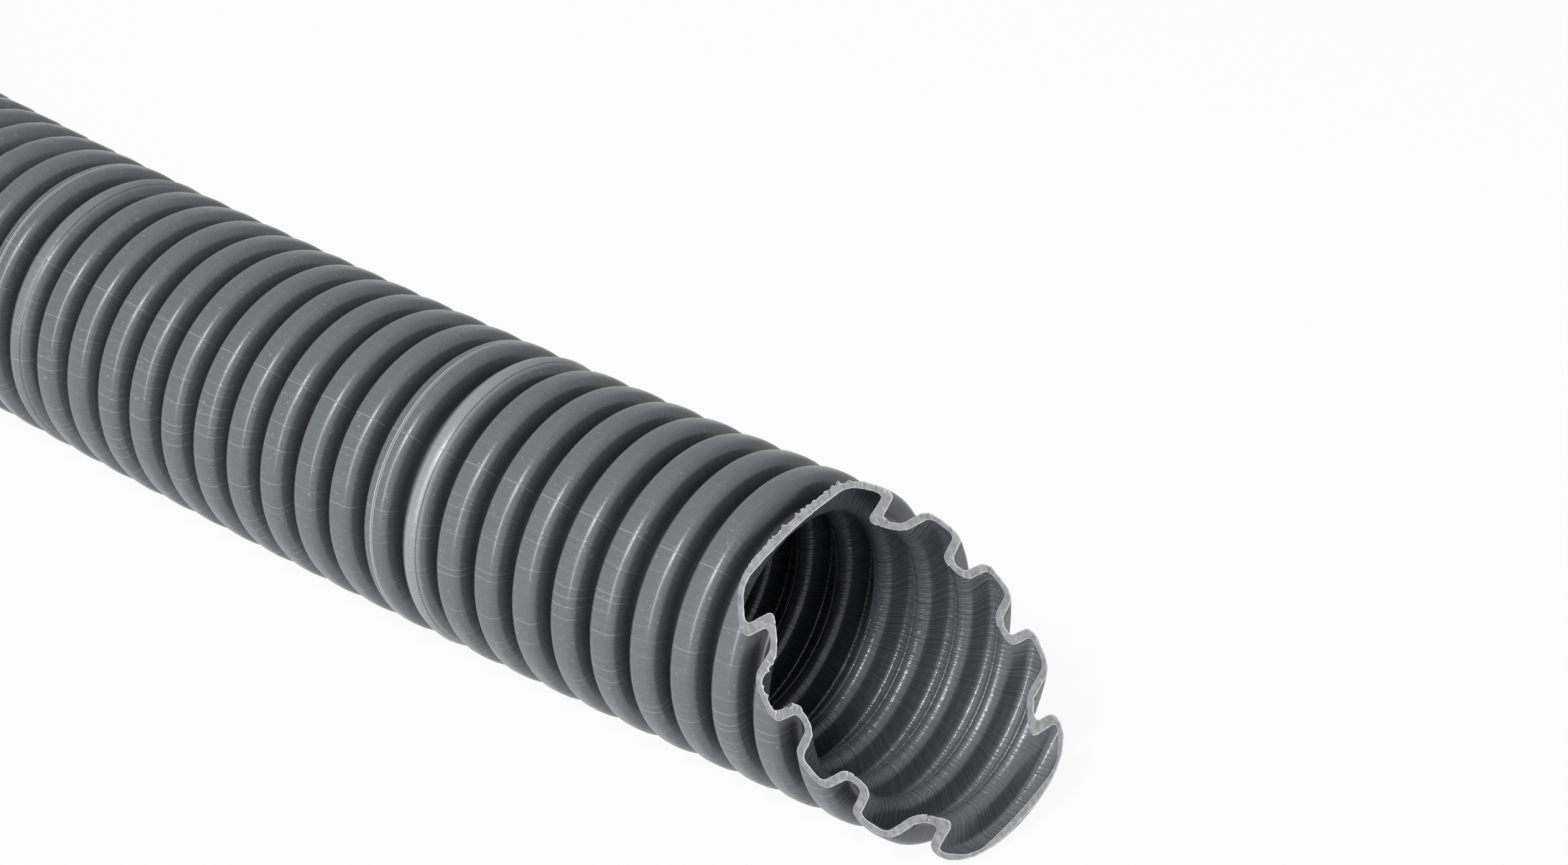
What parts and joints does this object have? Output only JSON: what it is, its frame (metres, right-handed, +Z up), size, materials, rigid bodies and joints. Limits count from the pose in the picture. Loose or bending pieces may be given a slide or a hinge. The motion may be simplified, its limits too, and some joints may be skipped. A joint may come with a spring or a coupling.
{
  "type": "corrugated conduit",
  "caption": "Length of grey corrugated plastic conduit with even ring ribs, straight with a gentle bend at one end, which is cut on a long slant.",
  "frame": {"origin": "on the floor, under the middle of the overall box of the conduit as it lies", "axes": "+X along the straight stretch towards the slanted end, +Y towards the inside of the bend, +Z up"},
  "size_m": [0.9996, 0.0582, 0.032],
  "materials": {
    "grey_plastic": "satin"
  },
  "bodies": {
    "root": {"corrugated_conduit": "grey_plastic"}
  },
  "joints": []
}
